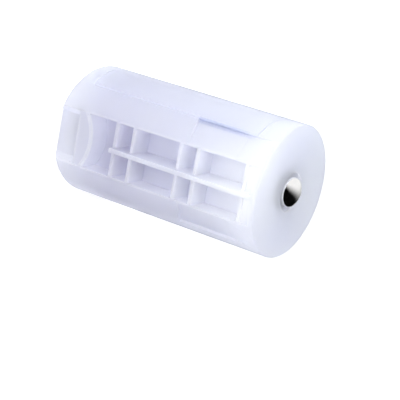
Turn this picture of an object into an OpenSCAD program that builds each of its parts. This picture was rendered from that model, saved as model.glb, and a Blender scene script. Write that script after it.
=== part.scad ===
// Cylindrical cell holder: a D-size shell that carries one AA cell.
// +Z runs along the axis, the nipple is up, the door faces -Y and the ribbed
// windows face +X and -X. The origin is the centre of the negative end face.
// All sizes are in millimetres.

/* [Shell] */
// Outer diameter of the moulded shell
shell_diameter = 32.2; // [30:0.1:34]
// Length of the moulded shell, without the nipple
shell_length = 59; // [58.5:0.1:61]
// Thickness of the curved shell and of the door
shell_wall = 1.3; // [1:0.1:2]
// Rounding of the rim at the negative end
foot_rounding = 2.8; // [1:0.1:3]
// Rounding of the rim at the nipple end
head_rounding = 0.5; // [0.3:0.1:1.5]

/* [Cell bay] */
// Diameter of the cell that the bay is made for
cell_diameter = 14.5; // [13:0.1:15]
// Length of the cell that the bay is made for
cell_length = 50.5; // [47:0.1:50.8]
// Free room around the cell on each side
cell_clearance = 0.15; // [0.1:0.05:0.4]
// Thickness of the wall at the negative end
foot_wall = 3.8; // [3.5:0.1:4.3]
// Number of cradle ribs under the cell
cradle_count = 4; // [3:1:6]
// Thickness of one cradle rib
cradle_rib = 1.2; // [0.8:0.1:2]

/* [Windows] */
// Width of one ribbed window
window_width = 13.4; // [12:0.1:14]
// Depth of the flat that the ribs end in, below the round surface
flat_depth = 1.4; // [0.9:0.05:1.9]
// Thickness of the wall between the bay and a window
bay_wall = 1.1; // [0.8:0.1:1.5]
// Thickness of the ribs across a window
cross_rib = 0.75; // [0.6:0.05:1.2]
// Thickness of the rib along a window
long_rib = 1.05; // [0.8:0.05:1.5]
// Thickness of the curved lip at the foot of a window
lip_wall = 0.8; // [0.6:0.1:1.4]
// Radius of the curved lip
lip_radius = 12; // [9:0.1:14]
// Height of the top of the curved lip
lip_top = 11.3; // [10.5:0.1:13]
// Depth of the shelf at each end of a window, below the flat
shelf_depth = 0.5; // [0.3:0.05:1]
// Width of the floor of the notch below the lip
notch_width = 10.4; // [8:0.1:12]
// Height of the notch
notch_height = 6.4; // [5:0.1:8]
// Depth of the notch below the flat
notch_depth = 1.9; // [0.8:0.05:2.2]

/* [Door] */
// Angle from the middle of the door to its free edge
free_edge_angle = 37; // [30:1:40]
// Angle from the middle of the door to its hinge pins
hinge_angle = 37; // [34:1:40]
// Height of the lower end of the door
door_foot = 5.7; // [5.5:0.1:6.5]
// Height of the upper end of the door
door_head = 53.2; // [52:0.1:54]
// Radius of the bead that runs along the hinge
bead_radius = 1.3; // [1.1:0.1:1.5]
// Radius of the two hinge pins
pin_radius = 0.75; // [0.6:0.05:0.9]
// Length of one hinge pin
pin_length = 1.5; // [1:0.1:2]
// Gap between the door and the shell
door_gap = 0.32; // [0.3:0.02:0.5]
// Room that the bead swings in
swing_gap = 0.75; // [0.7:0.05:1.2]
// Running clearance of a hinge pin in its bore
pin_clearance = 0.05; // [0.02:0.01:0.1]

/* [Finger flats] */
// Height where a finger flat starts at the door
grip_foot = 37; // [36:0.1:40]
// Height where a finger flat starts to fade out
grip_head = 51; // [48:0.1:52]
// Depth of a finger flat at the edge of the door
grip_depth = 0.75; // [0.4:0.05:1.5]

/* [Contacts] */
// Diameter of the nipple
nipple_diameter = 7.4; // [5:0.1:8]
// Height of the nipple above the shell
nipple_height = 2.2; // [1:0.1:2.4]
// Radius of the shoulder of the nipple
shoulder_radius = 1.5; // [1:0.1:1.6]
// Radius of the crown of the nipple
crown_radius = 5; // [4:0.1:8]
// Diameter of the shallow seat around the nipple
seat_diameter = 9.4; // [8.5:0.1:11]
// Depth of the seat around the nipple
seat_depth = 0.35; // [0.2:0.05:0.5]
// Diameter of the rivet shanks
shank_diameter = 3; // [2.5:0.1:3.5]
// Diameter of the plate inside the nipple end
plate_diameter = 9.4; // [8:0.1:14]
// Thickness of the contact sheet
sheet = 0.4; // [0.3:0.05:0.5]
// Diameter of the disc on the negative end
disc_diameter = 12; // [9:0.2:20]
// Thickness of the disc on the negative end
disc_thickness = 0.5; // [0.4:0.1:0.8]
// Width of the spring tongue
tongue_width = 5; // [4:0.5:6]
// Free rise of the spring tongue
tongue_rise = 2.2; // [1.5:0.1:3]
// Room between the bend of the spring strip and the side of the bay
leaf_room = 0.6; // [0.4:0.1:1]

/* [Quality] */
// Number of facets on round parts
facets = 96; // [48:12:180]

/* [Hidden] */
$fn = facets;
shell_radius = shell_diameter / 2;
inner_radius = shell_radius - shell_wall;
flat_distance = shell_radius - flat_depth;
bay_half = cell_diameter / 2 + cell_clearance;
rivet_tail = 0.4;
bay_foot = foot_wall;
bay_head = bay_foot + sheet + rivet_tail + cell_length + 0.3 + rivet_tail + sheet;
floor_distance = bay_half + bay_wall;
window_head = shell_length - 1.4;
rib_1 = 18.1;
rib_2 = 23.2;
rib_3 = 36.5;
rib_4 = 41.4;
rib_5 = 54.8;
hinge_distance = shell_radius - bead_radius;
hinge_x = -hinge_distance * sin(hinge_angle);
hinge_y = -hinge_distance * cos(hinge_angle);
opening_foot = door_foot - door_gap;
opening_head = door_head + door_gap;
gap_angle = door_gap / shell_radius * 180 / PI;
edge_x = (shell_radius - grip_depth) * sin(free_edge_angle + gap_angle);
edge_y = (shell_radius - grip_depth) * cos(free_edge_angle + gap_angle);
meet_angle = 64;
meet_x = shell_radius * sin(meet_angle);
meet_y = shell_radius * cos(meet_angle);
grip_angle = atan2(edge_y - meet_y, meet_x - edge_x);
grip_length = sqrt(pow(meet_x - edge_x, 2) + pow(edge_y - meet_y, 2));
cradle_pitch = (bay_head - bay_foot) / (cradle_count + 1);
nipple_base = shell_length - seat_depth;
shoulder_x = nipple_diameter / 2 - shoulder_radius;
crown_z = shell_length + nipple_height - crown_radius;
shoulder_z = crown_z + sqrt(pow(crown_radius - shoulder_radius, 2) - pow(shoulder_x, 2));
crown_x = shoulder_x * crown_radius / (crown_radius - shoulder_radius);
leaf_bend = bay_half - leaf_room;
leaf_end = leaf_bend - 0.3;
tongue_tip = leaf_bend - 2.6;
grip_fade = 7;

// Solid shell blank with its two rounded rims
module barrel() {
  rotate_extrude() {
    difference() {
      square([shell_radius, shell_length]);
      difference() {
        translate([shell_radius - foot_rounding, 0]) square(foot_rounding);
        translate([shell_radius - foot_rounding, foot_rounding]) circle(foot_rounding);
      }
      difference() {
        translate([shell_radius - head_rounding, shell_length - head_rounding]) square(head_rounding);
        translate([shell_radius - head_rounding, shell_length - head_rounding]) circle(head_rounding);
      }
    }
  }
}

// Flat wedge in the XY plane, from one angle to another, measured from -Y
module wedge(from, to) {
  polygon([
    [0, 0],
    [40 * sin(from), -40 * cos(from)],
    [40 * sin((from + to) / 2), -40 * cos((from + to) / 2)],
    [40 * sin(to), -40 * cos(to)]
  ]);
}

// Room for the cell, open towards the door
module bay() {
  difference() {
    union() {
      translate([-bay_half, -shell_radius, bay_foot])
        cube([2 * bay_half, shell_radius, bay_head - bay_foot]);
      intersection() {
        translate([-bay_half, -0.1, bay_foot])
          cube([2 * bay_half, shell_radius, bay_head - bay_foot]);
        cylinder(r = inner_radius, h = shell_length);
      }
    }
    lid_strip(-1, opening_foot + 1);
    lid_strip(opening_head, shell_length + 1 - opening_head);
    for (i = [1:cradle_count])
      translate([0, 0, bay_foot + i * cradle_pitch - cradle_rib / 2]) cradle();
  }
}

// Part of the curved shell that stays over an end of the bay
module lid_strip(from, rise) {
  translate([0, 0, from])
    difference() {
      translate([-shell_radius, -shell_radius - 1, 0])
        cube([2 * shell_radius, shell_radius + 1, rise]);
      translate([0, 0, -1]) cylinder(r = inner_radius, h = rise + 2);
    }
}

// Rib across the bay with a round seat for the cell
module cradle() {
  difference() {
    translate([-bay_half - 1, 0, 0]) cube([2 * bay_half + 2, shell_radius + 1, cradle_rib]);
    translate([0, 0, -1]) cylinder(r = bay_half, h = cradle_rib + 2);
  }
}

// Window on the +X side, with its ribs left standing
module window() {
  difference() {
    union() {
      translate([floor_distance, -window_width / 2, 0])
        cube([shell_radius, window_width, rib_5]);
      translate([flat_distance - shelf_depth, -window_width / 2, rib_5 - 1])
        cube([shell_radius, window_width, window_head - rib_5 + 1]);
    }
    lip_block();
    translate([floor_distance - 1, -long_rib / 2, rib_1 - cross_rib / 2])
      cube([shell_radius, long_rib, shell_length]);
    for (z = [rib_1, rib_2, rib_3, rib_4, rib_5])
      translate([floor_distance - 1, -window_width, z - cross_rib / 2])
        cube([shell_radius, 2 * window_width, cross_rib]);
  }
  difference() {
    translate([flat_distance, -window_width / 2, -1])
      cube([shell_radius, window_width, window_head + 1]);
    translate([floor_distance - 1, -long_rib / 2, rib_1 - cross_rib / 2])
      cube([shell_radius, long_rib, shell_length]);
  }
  intersection() {
    lip_cylinder(lip_radius - lip_wall);
    translate([flat_distance - shelf_depth, -window_width / 2, notch_height - 1])
      cube([shell_radius, window_width, lip_top]);
  }
  translate([0, 0, -1])
    linear_extrude(notch_height + 1)
      polygon([
        [flat_distance - notch_depth, -notch_width / 2],
        [flat_distance - notch_depth + 4, -notch_width / 2 - 3.4],
        [flat_distance - notch_depth + 4, notch_width / 2 + 3.4],
        [flat_distance - notch_depth, notch_width / 2]
      ]);
}

// Round bar along X that the curved lip follows
module lip_cylinder(radius) {
  translate([floor_distance - 1, 0, lip_top - lip_radius])
    rotate([0, 90, 0]) cylinder(r = radius, h = shell_radius);
}

// Solid foot of a window, which ends in a round lip
module lip_block() {
  intersection() {
    lip_cylinder(lip_radius);
    translate([0, -window_width, -1])
      cube([2 * shell_radius, 2 * window_width, lip_top + 2]);
  }
  translate([floor_distance - 1, -window_width, -1])
    cube([shell_radius, 2 * window_width, lip_top - lip_radius + 1]);
}

// Opening that the door closes, with the channel for its hinge bead
module doorway() {
  translate([0, 0, opening_foot])
    linear_extrude(opening_head - opening_foot) {
      difference() {
        intersection() {
          circle(shell_radius + 2);
          wedge(-hinge_angle, free_edge_angle + gap_angle);
        }
        circle(inner_radius - door_gap);
      }
      translate([hinge_x, hinge_y]) circle(bead_radius + swing_gap);
      translate([hinge_x, hinge_y - 6]) square([-hinge_x, 6 + bead_radius]);
    }
  translate([hinge_x, hinge_y, opening_foot - pin_length])
    cylinder(r = pin_radius + pin_clearance, h = opening_head - opening_foot + 2 * pin_length);
}

// Flat cut beside the door on the +X side, which fades out at the nipple end
module finger_flat() {
  translate([edge_x, -edge_y, 0])
    rotate([0, 0, grip_angle])
      difference() {
        rotate([90, 0, 0])
          linear_extrude(6)
            polygon([
              [0, grip_foot],
              [grip_length + 1, grip_foot + 1.6],
              [grip_length + 1, shell_length - 0.6],
              [0, shell_length - 0.6]
            ]);
        translate([-1, 0, 0])
          rotate([90, 0, 90])
            linear_extrude(grip_length + 4)
              polygon([
                [0, grip_head],
                [-2 * grip_depth, grip_head + 2 * grip_fade],
                [1, grip_head + 2 * grip_fade],
                [1, grip_head]
              ]);
      }
}

// Moulded shell with end walls, bay, windows and doorway
module body() {
  color([0.86, 0.87, 0.95])
    difference() {
      barrel();
      bay();
      window();
      mirror([1, 0, 0]) window();
      doorway();
      finger_flat();
      mirror([0, 1, 0]) finger_flat();
      translate([0, 0, nipple_base]) cylinder(d = seat_diameter, h = 2);
      translate([0, 0, bay_head - 1]) cylinder(d = shank_diameter, h = shell_length);
      translate([0, 0, -1]) cylinder(d = disc_diameter + 0.1, h = disc_thickness + 1);
      translate([0, 0, -1]) cylinder(d = shank_diameter, h = bay_foot + 2);
    }
}

// Curved flap with a bead and two moulded pins along one edge
module door() {
  color([0.86, 0.87, 0.95]) {
    translate([0, 0, door_foot])
      linear_extrude(door_head - door_foot)
        union() {
          intersection() {
            difference() {
              circle(shell_radius);
              circle(inner_radius);
            }
            wedge(-hinge_angle, free_edge_angle);
          }
          translate([hinge_x, hinge_y]) circle(bead_radius);
        }
    translate([hinge_x, hinge_y, opening_foot - pin_length + 0.1])
      cylinder(r = pin_radius, h = opening_head - opening_foot + 2 * pin_length - 0.2);
  }
}

// Domed head and shank of the positive contact
module nipple_rivet() {
  color([0.8, 0.8, 0.82])
    rotate_extrude() {
      translate([0, nipple_base]) square([nipple_diameter / 2, shoulder_z - nipple_base]);
      intersection() {
        translate([shoulder_x, shoulder_z]) circle(shoulder_radius);
        translate([0, nipple_base]) square(nipple_diameter);
      }
      intersection() {
        translate([0, crown_z]) circle(crown_radius);
        translate([0, nipple_base]) square([crown_x, 2 * nipple_height]);
      }
      polygon([
        [0, bay_head - sheet - rivet_tail],
        [2.4, bay_head - sheet - rivet_tail],
        [2.4, bay_head - sheet],
        [1.2, bay_head - sheet],
        [1.2, bay_head],
        [shank_diameter / 2, bay_head],
        [shank_diameter / 2, nipple_base + 0.1],
        [0, nipple_base + 0.1]
      ]);
    }
}

// Round plate that the positive end of the cell rests against
module positive_plate() {
  color([0.75, 0.75, 0.72])
    translate([0, 0, bay_head - sheet])
      difference() {
        cylinder(d = plate_diameter, h = sheet);
        translate([0, 0, -1]) cylinder(r = 1.2, h = 3);
      }
}

// Disc set in the negative end face
module negative_disc() {
  color([0.75, 0.75, 0.72])
    difference() {
      cylinder(d = disc_diameter, h = disc_thickness);
      translate([0, 0, -0.05]) cylinder(r1 = 2.6, r2 = shank_diameter / 2, h = disc_thickness + 0.05);
    }
}

// Countersunk rivet through the wall at the negative end
module negative_rivet() {
  color([0.8, 0.8, 0.82])
    rotate_extrude() {
      polygon([
        [0, 0],
        [2.5, 0],
        [shank_diameter / 2, disc_thickness],
        [shank_diameter / 2, bay_foot],
        [1.2, bay_foot],
        [1.2, bay_foot + sheet],
        [2.2, bay_foot + sheet],
        [2.2, bay_foot + sheet + rivet_tail],
        [0, bay_foot + sheet + rivet_tail]
      ]);
    }
}

// Strip with a bent tongue that presses on the cell
module negative_leaf() {
  color([0.78, 0.76, 0.7])
    difference() {
      rotate([90, 0, 0])
        translate([0, 0, -tongue_width / 2])
          linear_extrude(tongue_width)
            polygon([
              [-leaf_end, bay_foot],
              [leaf_bend - 1.8, bay_foot],
              [leaf_bend, bay_foot + 0.8],
              [leaf_bend, bay_foot + 1.2],
              [-tongue_tip + 0.8, bay_foot + sheet + tongue_rise + 0.4],
              [-tongue_tip, bay_foot + sheet + tongue_rise + 0.2],
              [-tongue_tip, bay_foot + sheet + tongue_rise - 0.2],
              [-tongue_tip + 0.6, bay_foot + sheet + tongue_rise - 0.05],
              [leaf_bend - 0.7, bay_foot + 0.95],
              [leaf_bend - 1.9, bay_foot + sheet],
              [-leaf_end, bay_foot + sheet]
            ]);
      translate([0, 0, bay_foot - 1]) cylinder(r = 1.2, h = 1 + sheet + 0.05);
    }
}

body();
door();
nipple_rivet();
positive_plate();
negative_disc();
negative_rivet();
negative_leaf();
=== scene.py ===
"""Scene of a cylindrical cell holder: frosted moulded shell, hinged flap and plated contacts.

Lengths are in metres. +Z runs along the axis, the nipple is up, and the flap faces -Y.
"""
import math

import bpy
import numpy as np
from mathutils import Matrix, Vector


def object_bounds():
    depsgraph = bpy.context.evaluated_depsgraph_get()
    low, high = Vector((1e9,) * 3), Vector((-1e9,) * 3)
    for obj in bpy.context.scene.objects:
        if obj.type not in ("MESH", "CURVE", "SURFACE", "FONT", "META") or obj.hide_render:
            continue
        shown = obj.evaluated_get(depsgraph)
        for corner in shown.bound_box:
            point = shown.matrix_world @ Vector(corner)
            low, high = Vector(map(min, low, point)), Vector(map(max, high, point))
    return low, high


bl_info = {
    "name": "Cylindrical cell holder",
    "version": (1, 0, 0),
    "blender": (4, 5, 0),
    "location": "View3D > Sidebar > Cell holder",
    "description": "Finishes the moulded shell, flap and contacts, and sets the studio",
    "category": "Object",
}

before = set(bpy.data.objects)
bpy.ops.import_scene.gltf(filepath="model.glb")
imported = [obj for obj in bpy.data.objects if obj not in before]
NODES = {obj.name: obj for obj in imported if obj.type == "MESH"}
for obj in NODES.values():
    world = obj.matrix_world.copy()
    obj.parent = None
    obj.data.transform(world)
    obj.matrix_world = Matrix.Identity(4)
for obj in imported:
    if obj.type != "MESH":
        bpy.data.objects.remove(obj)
CAD_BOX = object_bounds()

# Half width of the ribbed windows, and the half width at which their painted light and shade have faded out
WINDOW_HALF = 0.0060
WINDOW_FADE = 0.0078
# Heights where the band of painted shadow on the flap's step starts, with the finger flat, and where it fades out,
# as pairs of the height with none of it and the height with all of it
GRIP_START = (0.0368, 0.0372)
GRIP_FADE = (0.0545, 0.0460)
# Gap that keeps the studio floor clear of the holder's flat end
FLOOR_GAP = 0.00002
WHITE = (1.0, 1.0, 1.0, 1.0)


class CellShellSettings(bpy.types.PropertyGroup):
    """Finish of the moulded shell and flap, with the colours of its painted light and shade."""

    tint: bpy.props.FloatVectorProperty(
        name="Tint", description="Colour of the moulded plastic",
        subtype="COLOR", size=3, min=0, max=1, default=(0.90, 0.91, 0.97))
    # Shade darkens the plastic with the random cloudiness, and as painted shade past the negative end and on the
    # windows' floor there
    shade: bpy.props.FloatVectorProperty(
        name="Shade", description="Colour where the plastic is thick",
        subtype="COLOR", size=3, min=0, max=1, default=(0.70, 0.69, 0.80))
    # Painted highlight on ribs and edges in the windows, and painted light on the windows' floor towards the nipple
    window_highlight: bpy.props.FloatVectorProperty(
        name="Pale", description="Colour where the plastic is thin, on ribs and edges",
        subtype="COLOR", size=3, min=0, max=1, default=(0.98, 0.985, 1.0))
    # Colour of the painted shadow along the step between the flap and the finger flat
    step_shadow: bpy.props.FloatVectorProperty(
        name="Ledge", description="Colour along the step between the flap and the finger flat",
        subtype="COLOR", size=3, min=0, max=1, default=(0.71, 0.74, 0.87))
    # Ribs and edges up to this thickness get the painted highlight
    reach: bpy.props.FloatProperty(
        name="Reach", description="Thickness up to which the plastic looks thin",
        subtype="DISTANCE", unit="LENGTH", default=0.001, min=0.0002, max=0.003)
    grain: bpy.props.FloatProperty(
        name="Grain", description="Spacing of the fine surface grain",
        subtype="DISTANCE", unit="LENGTH", default=0.0005, min=0.0001, max=0.002)
    edge: bpy.props.FloatProperty(
        name="Edge", description="Radius that moulded edges look rounded by",
        subtype="DISTANCE", unit="LENGTH", default=0.0003, min=0.0, max=0.001)


class CellContactSettings(bpy.types.PropertyGroup):
    """Finish of the plated contacts."""

    plate: bpy.props.FloatVectorProperty(
        name="Plate", description="Colour of the bright plating",
        subtype="COLOR", size=3, min=0, max=1, default=(0.94, 0.93, 0.91))
    dull: bpy.props.FloatVectorProperty(
        name="Dull plate", description="Colour of the dull plating",
        subtype="COLOR", size=3, min=0, max=1, default=(0.95, 0.94, 0.93))
    scratch: bpy.props.FloatProperty(
        name="Scratch spacing", description="Spacing of the fine turning marks",
        subtype="DISTANCE", unit="LENGTH", default=0.0002, min=0.00005, max=0.001)


class CellStageSettings(bpy.types.PropertyGroup):
    """Camera of the studio."""

    azimuth: bpy.props.FloatProperty(
        name="Azimuth", description="Camera direction round the axis, from -Y towards +X",
        subtype="ANGLE", default=math.radians(75.0))
    elevation: bpy.props.FloatProperty(
        name="Elevation", description="Camera height angle",
        subtype="ANGLE", default=math.radians(31.0))
    roll: bpy.props.FloatProperty(
        name="Roll", description="Turn of the camera about its own axis",
        subtype="ANGLE", default=math.radians(108.4))
    distance: bpy.props.FloatProperty(
        name="Distance", description="Camera distance from the middle of the holder",
        subtype="DISTANCE", unit="LENGTH", default=0.3488)


class Net:
    """Adds nodes to the tree of a material, a group or the world, and links them.

    Every input is either a plain value or the socket that feeds it.
    """

    def __init__(self, tree):
        self.tree = tree

    def feed(self, socket, value):
        """Links a socket to another one, or sets it to a plain value."""
        if isinstance(value, bpy.types.NodeSocket):
            self.tree.links.new(value, socket)
        else:
            socket.default_value = value

    def add(self, kind, inputs=None, **options):
        """Node of a kind, with its options and then its inputs."""
        node = self.tree.nodes.new(kind)
        for name, value in options.items():
            setattr(node, name, value)
        self.fill(node, inputs or {})
        return node

    def fill(self, node, inputs):
        """Feeds the named inputs of a node."""
        for name, value in inputs.items():
            self.feed(node.inputs[name], value)

    def calc(self, operation, *values):
        """Output of a Math node."""
        node = self.add("ShaderNodeMath", operation=operation)
        for socket, value in zip(node.inputs, values):
            self.feed(socket, value)
        return node.outputs["Value"]

    def product(self, *values):
        """Product of several values."""
        total = values[0]
        for value in values[1:]:
            total = self.calc("MULTIPLY", total, value)
        return total

    def ramp(self, value, start, end, low=0.0, high=1.0, smooth=False):
        """Value carried from the range start to end over to the range low to high, and held past both ends."""
        node = self.add(
            "ShaderNodeMapRange",
            {"Value": value, "From Min": start, "From Max": end, "To Min": low, "To Max": high},
            interpolation_type="SMOOTHSTEP" if smooth else "LINEAR")
        return node.outputs["Result"]

    def blend(self, factor, first, second):
        """Colour mixed from the first to the second."""
        node = self.add("ShaderNodeMix", {"Factor": factor, "A": first, "B": second}, data_type="RGBA")
        return node.outputs["Result"]

    def noise(self, place, scale, detail):
        """Noise of a scale, at places."""
        node = self.add("ShaderNodeTexNoise", {"Vector": place, "Scale": scale, "Detail": detail})
        return node.outputs["Fac"]

    def dot(self, vector, direction):
        """Length of a vector along a direction."""
        node = self.add("ShaderNodeVectorMath", operation="DOT_PRODUCT")
        self.feed(node.inputs[0], vector)
        self.feed(node.inputs[1], direction)
        return node.outputs["Value"]

    def place(self):
        """Place on the object, in the object's own coordinates."""
        return self.add("ShaderNodeTexCoord").outputs["Object"]

    def split(self, vector):
        """X, Y and Z of a vector."""
        return self.add("ShaderNodeSeparateXYZ", {"Vector": vector}).outputs

    def group(self, tree, inputs=None):
        """Outputs of a group placed in this tree."""
        node = self.add("ShaderNodeGroup", node_tree=tree)
        self.fill(node, inputs or {})
        return node.outputs

    def seen(self):
        """1 on rays that come straight from the camera, through glass or off a gloss, and 0 on the others."""
        path = self.add("ShaderNodeLightPath").outputs
        through = self.calc("MAXIMUM", path["Is Camera Ray"], path["Is Transmission Ray"])
        return self.calc("MAXIMUM", through, path["Is Glossy Ray"])


def new_group(name, inputs, outputs):
    """New group whose sockets all hold numbers: its net, the sockets that it is given, and its output node."""
    tree = bpy.data.node_groups.new(name, "ShaderNodeTree")
    for label, default in inputs.items():
        socket = tree.interface.new_socket(name=label, in_out="INPUT", socket_type="NodeSocketFloat")
        socket.default_value = default
    for label in outputs:
        tree.interface.new_socket(name=label, in_out="OUTPUT", socket_type="NodeSocketFloat")
    net = Net(tree)
    return net, net.add("NodeGroupInput").outputs, net.add("NodeGroupOutput")


def moulding_and_foot_shade():
    """Group: fine grain and slow cloudiness of frosted moulding, as masks and a bump height.

    Foot shade is a mask of painted shade along the axis: it rises past the negative end
    and falls again towards the nipple.
    """
    tree = bpy.data.node_groups.get("moulding_and_foot_shade")
    if tree:
        return tree
    net, given, result = new_group(
        "moulding_and_foot_shade", {"Grain size": 2000.0}, ("Cloud", "Foot shade", "Height", "Roughness"))
    foot, darkest, head, darkening = 0.003, 0.013, 0.052, 0.375
    cloud_scale, streak_scale, streak_stretch, streak_share = 70.0, 220.0, (1.0, 1.0, 0.25), 0.35
    place = net.place()
    height = net.split(place)["Z"]
    # Painted shade along the axis: none at the foot, most at the height darkest, none again at the head
    rise = net.ramp(height, foot, darkest, smooth=True)
    fall = net.ramp(height, darkest, head, low=darkening, high=0.0)
    flow = net.add("ShaderNodeMapping", {"Vector": place, "Scale": streak_stretch}).outputs["Vector"]
    streak = net.noise(flow, streak_scale, 2.0)
    grain = net.noise(place, given["Grain size"], 2.0)
    net.fill(result, {
        "Cloud": net.noise(place, cloud_scale, 3.0),
        "Foot shade": net.product(rise, fall),
        "Height": net.calc("MULTIPLY_ADD", streak, streak_share, grain),
        "Roughness": net.ramp(streak, 0.0, 1.0, low=0.55, high=0.68),
    })
    return result.id_data


def window_light_and_shade():
    """Group: masks of painted highlight, painted light and painted shade in the ribbed windows.

    Window light is 1 on ribs and edges, found by short rays cast into the solid, as a painted
    highlight, and on the windows' floor towards the nipple, as painted light. Pocket shade is
    painted shade on the windows' floor towards the negative end. Both fade out past the windows.
    """
    tree = bpy.data.node_groups.get("window_light_and_shade")
    if tree:
        return tree
    net, given, result = new_group("window_light_and_shade", {"Reach": 0.001}, ("Window light", "Pocket shade"))
    solid, thin = 0.85, 0.35
    head_start, head_end, most_pale = (0.038, 0.050), (0.0575, 0.056), 0.8
    foot_start, foot_end, most_pocket_shade = (0.011, 0.014), (0.027, 0.016), 0.55
    probe = net.add(
        "ShaderNodeAmbientOcclusion", {"Distance": given["Reach"]}, inside=True, only_local=True, samples=8)
    # Painted highlight on the ribs and edges that the short rays find
    rib = net.ramp(probe.outputs["AO"], solid, thin)
    part = net.split(net.place())
    window = net.ramp(net.calc("ABSOLUTE", part["Y"]), WINDOW_FADE, WINDOW_HALF)
    height = part["Z"]
    # Painted light on the windows' floor towards the nipple
    head = net.product(
        net.ramp(height, *head_start, high=most_pale, smooth=True),
        window,
        net.ramp(height, *head_end))
    # Painted shade on the windows' floor towards the negative end
    foot = net.product(
        net.ramp(height, *foot_start),
        net.ramp(height, *foot_end, high=most_pocket_shade, smooth=True),
        window)
    net.fill(result, {
        "Window light": net.calc("MAXIMUM", net.product(rib, window), head),
        "Pocket shade": foot,
    })
    return result.id_data


def flap_step_shadow():
    """Group: mask of a band of painted shadow along the flap's free edge, where it stands over the finger flat.

    Across, the band is a range of d = (x + y) / sqrt(2), with a sharp side on the flap and a
    soft side on the flat. Along the axis it starts with the finger flat and fades with it.
    """
    tree = bpy.data.node_groups.get("flap_step_shadow")
    if tree:
        return tree
    net, _, result = new_group("flap_step_shadow", {}, ("Shadow band",))
    sharp_side, soft_side, flap_side = (-0.00245, -0.0022), (-0.0007, -0.0016), (0.008, 0.009)
    place = net.place()
    part = net.split(place)
    across = net.dot(place, (math.sqrt(0.5), math.sqrt(0.5), 0.0))
    # Painted shadow on the finger flat, beside the flap's free edge
    net.fill(result, {"Shadow band": net.product(
        net.ramp(across, *sharp_side, smooth=True),
        net.ramp(across, *soft_side, smooth=True),
        net.ramp(part["Z"], *GRIP_START),
        net.ramp(part["Z"], *GRIP_FADE, smooth=True),
        net.ramp(part["X"], *flap_side))})
    return result.id_data


def turned_metal():
    """Group: rings of fine turning marks round the axis, as a roughness, a tone and a bump height."""
    tree = bpy.data.node_groups.get("turned_metal")
    if tree:
        return tree
    net, given, result = new_group("turned_metal", {"Ring scale": 5000.0}, ("Height", "Roughness", "Tone"))
    place = net.place()
    rings = net.add(
        "ShaderNodeTexWave",
        {"Vector": place, "Scale": given["Ring scale"], "Distortion": 0.6, "Detail": 2.0},
        wave_type="RINGS", rings_direction="Z")
    spot = net.noise(place, 900.0, 4.0)
    net.fill(result, {
        "Height": rings.outputs["Fac"],
        "Roughness": net.ramp(spot, 0.0, 1.0, low=0.02, high=0.12),
        "Tone": spot,
    })
    return result.id_data


def new_material(name):
    """New material with its net and its principled shader."""
    mat = bpy.data.materials.new(name)
    mat.use_nodes = True
    return mat, Net(mat.node_tree), mat.node_tree.nodes["Principled BSDF"]


def opaque(colour):
    """Colour with a full alpha."""
    return (*colour, 1.0)


def frosted(name, settings):
    """Frosted translucent plastic, with a soft gloss and fine grain.

    The tint darkens with the random cloudiness, and with painted shade past the negative end
    and on the windows' floor there. It grows pale with a painted highlight on ribs and edges in
    the windows and painted light on the windows' floor towards the nipple. A band of painted shadow
    lies along the flap's step. The principled shader is mixed with a translucent one, which carries light through
    the wall.
    """
    mat, net, bsdf = new_material(name)
    surface = net.group(moulding_and_foot_shade(), {"Grain size": 1.0 / settings.grain})
    painted_window = net.group(window_light_and_shade(), {"Reach": settings.reach})
    step = net.group(flap_step_shadow())
    cloud = net.ramp(surface["Cloud"], 0.3, 0.8, high=0.15)
    # Random cloudiness plus painted shade, then painted highlight, then the painted shadow by the flap's step
    darkening = net.calc("ADD", net.calc("ADD", cloud, surface["Foot shade"]), painted_window["Pocket shade"])
    colour = net.blend(darkening, opaque(settings.tint), opaque(settings.shade))
    colour = net.blend(painted_window["Window light"], colour, opaque(settings.window_highlight))
    colour = net.blend(step["Shadow band"], colour, opaque(settings.step_shadow))
    soft_edge = net.add("ShaderNodeBevel", {"Radius": settings.edge}, samples=6)
    bump = net.add("ShaderNodeBump", {
        "Strength": 0.12,
        "Distance": 0.00004,
        "Height": surface["Height"],
        "Normal": soft_edge.outputs["Normal"],
    })
    net.fill(bsdf, {
        "Base Color": colour,
        "Roughness": surface["Roughness"],
        "Normal": bump.outputs["Normal"],
        "IOR": 1.25,
        "Coat Weight": 0.6,
        "Coat Roughness": 0.05,
        "Transmission Weight": 0.45,
        "Subsurface Weight": 0.7,
        "Subsurface Radius": (1.0, 1.0, 1.1),
        "Subsurface Scale": 0.006,
    })
    back_lit = net.add("ShaderNodeBsdfTranslucent", {"Color": colour, "Normal": bump.outputs["Normal"]})
    both = net.add("ShaderNodeMixShader", {"Fac": 0.4})
    net.feed(both.inputs[1], bsdf.outputs["BSDF"])
    net.feed(both.inputs[2], back_lit.outputs["BSDF"])
    net.fill(mat.node_tree.nodes["Material Output"], {"Surface": both.outputs["Shader"]})
    return mat


def plated(name, colour, scratch, extra_roughness):
    """Plated metal with faint turning rings, and small spots that are a little darker than the plating."""
    mat, net, bsdf = new_material(name)
    spot_tone = 0.95
    marks = net.group(turned_metal(), {"Ring scale": 1.0 / scratch})
    bump = net.add("ShaderNodeBump", {"Strength": 0.1, "Distance": 0.00001, "Height": marks["Height"]})
    net.fill(bsdf, {
        "Metallic": 1.0,
        "Base Color": net.blend(marks["Tone"], opaque([c * spot_tone for c in colour]), opaque(colour)),
        "Roughness": net.calc("ADD", marks["Roughness"], extra_roughness),
        "Normal": bump.outputs["Normal"],
    })
    return mat


def dress(node, mat):
    """Puts a material in every slot of a CAD node."""
    ob = NODES[node]
    for slot in ob.material_slots:
        slot.material = mat
    if not ob.material_slots:
        ob.data.materials.append(mat)


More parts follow.
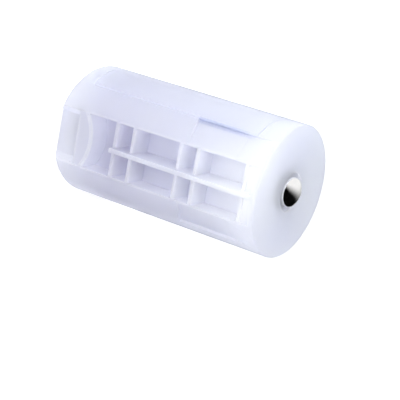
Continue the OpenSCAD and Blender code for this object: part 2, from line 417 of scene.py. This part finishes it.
class CELL_OT_shell(bpy.types.Operator):
    """Give the shell and the flap their frosted plastic"""

    bl_idname = "cell.shell"
    bl_label = "Moulded shell and flap"

    def execute(self, context):
        settings = context.scene.cell_shell
        dress("body", frosted("frosted_shell", settings))
        dress("door", frosted("frosted_flap", settings))
        return {"FINISHED"}


class CELL_OT_contacts(bpy.types.Operator):
    """Give the rivets, plates and spring tongue their plating"""

    bl_idname = "cell.contacts"
    bl_label = "Plated contacts"

    def execute(self, context):
        settings = context.scene.cell_contact
        bright, scratch = tuple(settings.plate), settings.scratch
        dress("nipple_rivet", plated("bright_nipple", bright, scratch, 0.0))
        dress("negative_rivet", plated("bright_rivet", bright, scratch, 0.05))
        dull = plated("dull_plate", tuple(settings.dull), scratch * 2, 0.45)
        for node in ("positive_plate", "negative_disc", "negative_leaf"):
            dress(node, dull)
        return {"FINISHED"}


def camera_axes(settings):
    """Right, up and back of the camera.

    Back points from the holder to the camera, and right and up are turned by the roll.
    """
    turn, lift = settings.azimuth, settings.elevation
    back = Vector((math.sin(turn) * math.cos(lift), -math.cos(turn) * math.cos(lift), math.sin(lift)))
    level = Vector((math.cos(turn), math.sin(turn), 0.0))
    steep = back.cross(level)
    c, s = math.cos(settings.roll), math.sin(settings.roll)
    return c * level + s * steep, c * steep - s * level, back


def lamp(name, place, aim, size, power, colour):
    """Square soft lamp at a place, facing a point. Reflections don't see it."""
    data = bpy.data.lights.new(name, "AREA")
    data.shape = "SQUARE"
    data.size = size
    data.energy = power
    data.color = colour
    ob = bpy.data.objects.new(name, data)
    ob.location = place
    ob.rotation_euler = (Vector(aim) - Vector(place)).to_track_quat("-Z", "Y").to_euler()
    ob.visible_glossy = False
    bpy.context.scene.collection.objects.link(ob)


def floor_material():
    """White floor that shows as plain white to the eye and in gloss, and still takes a shadow."""
    mat, net, bsdf = new_material("studio_floor")
    glow = 0.6
    net.fill(bsdf, {
        "Base Color": (0.88, 0.88, 0.88, 1.0),
        "Roughness": 0.9,
        "Specular IOR Level": 0.0,
        "Emission Color": WHITE,
        "Emission Strength": net.product(net.seen(), glow),
    })
    return mat


def card_material(name, share, axis=None, start=0.0, end=1.0):
    """Dark card that only reflections see, by a share; every other ray passes through it.

    With an axis, the share grows smoothly from nothing to all of it, as the direction from
    the origin turns towards the axis.
    """
    mat, net, bsdf = new_material(name)
    mat.node_tree.nodes.remove(bsdf)
    if axis is not None:
        way = net.add("ShaderNodeVectorMath", operation="NORMALIZE")
        net.feed(way.inputs[0], net.place())
        share = net.ramp(net.dot(way.outputs["Vector"], axis), start, end, high=share, smooth=True)
    path = net.add("ShaderNodeLightPath").outputs
    clear = net.add("ShaderNodeBsdfTransparent")
    dark = net.add("ShaderNodeBsdfDiffuse", {"Color": (0.01, 0.01, 0.01, 1.0)})
    both = net.add("ShaderNodeMixShader", {"Fac": net.product(path["Is Glossy Ray"], share)})
    net.feed(both.inputs[1], clear.outputs["BSDF"])
    net.feed(both.inputs[2], dark.outputs["BSDF"])
    net.fill(mat.node_tree.nodes["Material Output"], {"Surface": both.outputs["Shader"]})
    return mat


def stage_surface(name, points, mat):
    """Stage mesh from a grid of points, with a quad between each four neighbours."""
    rows, columns = points.shape[:2]
    i = np.arange(rows - 1)[:, None] * columns + np.arange(columns - 1)[None, :]
    quads = np.stack([i, i + 1, i + columns + 1, i + columns], -1).reshape(-1, 4)
    mesh = bpy.data.meshes.new(name)
    mesh.from_pydata(points.reshape(-1, 3).tolist(), [], quads.tolist())
    mesh.materials.append(mat)
    ob = bpy.data.objects.new(name, mesh)
    bpy.context.scene.collection.objects.link(ob)


def sheet(name, four, cuts, mat):
    """Flat stage sheet between four corners: p(u, v) = (1-u)(1-v) A + u (1-v) B + u v C + (1-u) v D."""
    u, v = np.meshgrid(np.linspace(0.0, 1.0, cuts + 1), np.linspace(0.0, 1.0, cuts + 1))
    u, v = u[..., None], v[..., None]
    a, b, c, d = np.array(four)
    stage_surface(name, (1 - u) * (1 - v) * a + u * (1 - v) * b + u * v * c + (1 - u) * v * d, mat)


def hood(name, radius, mat):
    """Dome over the stage, a grid of turns t and heights h on a sphere.

    x = r cos h cos t, y = r cos h sin t, z = r sin h, with the faces turned inwards.
    """
    heights, turns = 13, 49
    height, turn = np.meshgrid(np.linspace(0.0, 0.5 * np.pi, heights), np.linspace(0.0, 2.0 * np.pi, turns))
    stage_surface(name, radius * np.stack(
        [np.cos(height) * np.cos(turn), np.cos(height) * np.sin(turn), np.sin(height)], -1), mat)


def lamps(centre, right, up, back):
    """Lamps of the studio, the first two placed by the camera's axes."""
    lamp("key", centre + 0.33 * up + 0.3 * right + 0.2 * back, centre, 0.25, 1.27, (0.88, 0.97, 1.0))
    lamp("spot", centre + 0.05 * right + 0.12 * back, centre + 0.02 * right, 0.06, 0.056, (1.0, 1.0, 0.92))
    lamp("low", (0.3, -0.1, 0.06), (0.0, 0.0, 0.01), 0.1, 0.51, (1.0, 0.98, 0.94))
    lamp("rear", (-0.20, 0.24, 0.24), (0.0, 0.0, 0.03), 0.3, 0.3, (0.94, 0.98, 1.0))


def air():
    """World that shows as white, and lights the object softly."""
    world = bpy.data.worlds.new("studio_air")
    world.use_nodes = True
    soft_light = 0.25
    net = Net(world.node_tree)
    net.fill(world.node_tree.nodes["Background"], {
        "Color": (0.98, 0.985, 1.0, 1.0),
        "Strength": net.ramp(net.seen(), 0.0, 1.0, low=soft_light),
    })
    return world


def camera(place, axes):
    """Camera at a place, with its right, up and back axes."""
    data = bpy.data.cameras.new("camera")
    data.lens = 130.0
    data.sensor_width = 36.0
    data.shift_x = 0.0333
    data.shift_y = -0.1063
    data.clip_start = 0.01
    data.clip_end = 10.0
    ob = bpy.data.objects.new("camera", data)
    turn = Matrix(axes).transposed().to_4x4()
    turn.translation = place
    ob.matrix_world = turn
    return ob


class CELL_OT_stage(bpy.types.Operator):
    """Set the floor, the lamps, the world and the camera"""

    bl_idname = "cell.stage"
    bl_label = "Studio"

    def execute(self, context):
        scene = context.scene
        settings = scene.cell_stage
        centre = Vector((0.0, 0.0, 0.0295))
        right, up, back = camera_axes(settings)
        ground, half = float(CAD_BOX[0][2]) - FLOOR_GAP, 2.0
        floor = [(x * half, y * half, ground) for x, y in ((-1, -1), (1, -1), (1, 1), (-1, 1))]
        sheet("studio_floor", floor, 8, floor_material())
        away = Vector((-back[0], -back[1], 0.0)).normalized()
        side = Vector((-back[1], back[0], 0.0)).normalized()
        near, far, near_half, far_half = 0.03, 0.5, 0.03, 0.24
        wedge = [reach * away + half_width * side + Vector((0.0, 0.0, 0.0005))
                 for reach, half_width in ((near, -near_half), (near, near_half), (far, far_half), (far, -far_half))]
        sheet("studio_veil", wedge, 4, card_material("studio_veil", 0.8))
        hood("studio_hood", 1.2, card_material("studio_hood", 1.0, (0.48, 0.87, -0.10), -0.63, 0.07))
        lamps(centre, right, up, back)
        scene.world = air()
        scene.camera = camera(centre + settings.distance * back, (right, up, back))
        scene.collection.objects.link(scene.camera)
        scene.view_settings.view_transform = "Standard"
        return {"FINISHED"}


class CELL_PT_panel(bpy.types.Panel):
    """Steps and settings that finish the cell holder"""

    bl_label = "Cell holder"
    bl_idname = "CELL_PT_panel"
    bl_space_type = "VIEW_3D"
    bl_region_type = "UI"
    bl_category = "Cell holder"

    def draw(self, context):
        column = self.layout.column()
        for idname in STEPS:
            column.operator(idname)
        for name, kind in SETTINGS.items():
            for prop in kind.__annotations__:
                column.prop(getattr(context.scene, name), prop)


STEPS = ("cell.shell", "cell.contacts", "cell.stage")
SETTINGS = {
    "cell_shell": CellShellSettings,
    "cell_contact": CellContactSettings,
    "cell_stage": CellStageSettings,
}
CLASSES = (*SETTINGS.values(), CELL_OT_shell, CELL_OT_contacts, CELL_OT_stage, CELL_PT_panel)


def register():
    for kind in CLASSES:
        bpy.utils.register_class(kind)
    for name, kind in SETTINGS.items():
        setattr(bpy.types.Scene, name, bpy.props.PointerProperty(type=kind))


def unregister():
    for name in SETTINGS:
        delattr(bpy.types.Scene, name)
    for kind in reversed(CLASSES):
        bpy.utils.unregister_class(kind)


def main():
    register()
    bpy.ops.cell.shell()
    bpy.ops.cell.contacts()
    bpy.ops.cell.stage()


if __name__ == "__main__":
    main()
